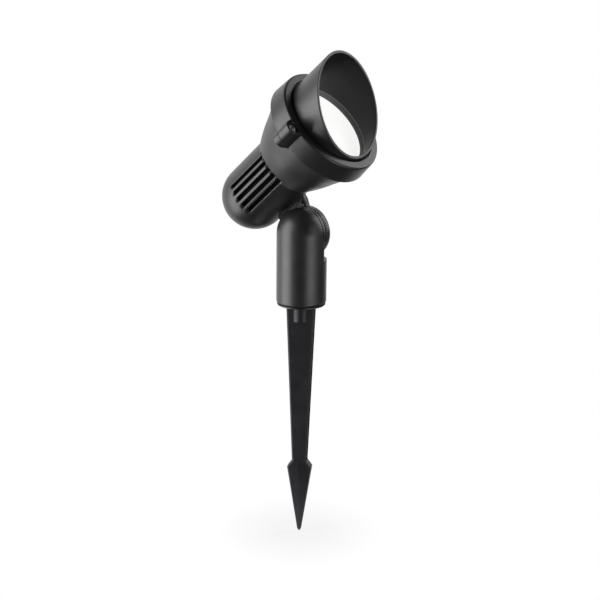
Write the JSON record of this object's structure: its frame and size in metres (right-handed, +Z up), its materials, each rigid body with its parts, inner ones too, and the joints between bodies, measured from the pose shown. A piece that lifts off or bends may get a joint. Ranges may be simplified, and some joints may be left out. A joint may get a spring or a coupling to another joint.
{
  "type": "garden spike spotlight",
  "caption": "Garden spotlight: slotted bell-shaped head with a slanted hood, on a toothed tilt joint and a round knuckle stem that swivels on an arrow-tipped soil spike.",
  "frame": {"origin": "on the spike's axis, in the plane of the stem's underside, which stands at soil level", "axes": "+Z up along the stem and spike; +X the way the lamp aims, seen from above; +Y across it, towards the arm side of the tilt joint; the lamp is tipped 42 degrees above the horizon at rest"},
  "size_m": [0.1301, 0.1092, 0.3965],
  "materials": {
    "powder_coat": "satin black powder coat on die-cast aluminium",
    "spike_plastic": "satin black moulded plastic",
    "stainless": "bright stainless steel",
    "brass": "satin brass",
    "black_rubber": "matte rubber",
    "opal_lens": "opal white, smooth",
    "clear_glass": "clear",
    "lamp_mirror": "polished metal coat on glass",
    "lamp_ceramic": "smooth white",
    "holder_ceramic": "matte off-white",
    "zinc_plate": "zinc plated",
    "terminal_plastic": "matte white",
    "lead_insulation": "matte white silicone"
  },
  "bodies": {
    "spike": {"ground_spike": "spike_plastic", "spike_insert": "brass", "swivel_screw": "stainless", "swivel_washer": "stainless"},
    "stem": {"stem_shell": "powder_coat", "base_cap": "powder_coat", "base_gasket": "black_rubber", "base_cap_screws": "stainless", "cable_grommet": "black_rubber", "terminal_block": "terminal_plastic", "terminal_tubes": "brass", "terminal_screws": "stainless", "block_screws": "stainless", "pivot_nut": "brass", "pivot_screw": "stainless", "pivot_washer": "stainless", "stem_leads": "lead_insulation"},
    "head": {"lamp_housing": "powder_coat", "front_ring": "powder_coat", "ring_screws": "stainless", "hood": "powder_coat", "lens_glass": "opal_lens", "lens_seal": "black_rubber", "joint_oring": "black_rubber", "lamp_reflector": "lamp_mirror", "lamp_front_glass": "clear_glass", "lamp_base": "lamp_ceramic", "lamp_pins": "stainless", "lampholder": "holder_ceramic", "holder_contacts": "brass", "holder_plate": "zinc_plate", "plate_screws": "stainless", "holder_screws": "stainless", "head_leads": "lead_insulation"}
  },
  "joints": [
    {"name": "swivel", "type": "hinge", "parent": "spike", "child": "stem", "pos_m": [0, 0, 0], "axis": [0, 0, 1], "range_deg": [-170, 170]},
    {"name": "tilt", "type": "hinge", "parent": "stem", "child": "head", "pos_m": [0, 0, 0.0578], "axis": [0, -1, 0], "range_deg": [-84, 48]}
  ]
}
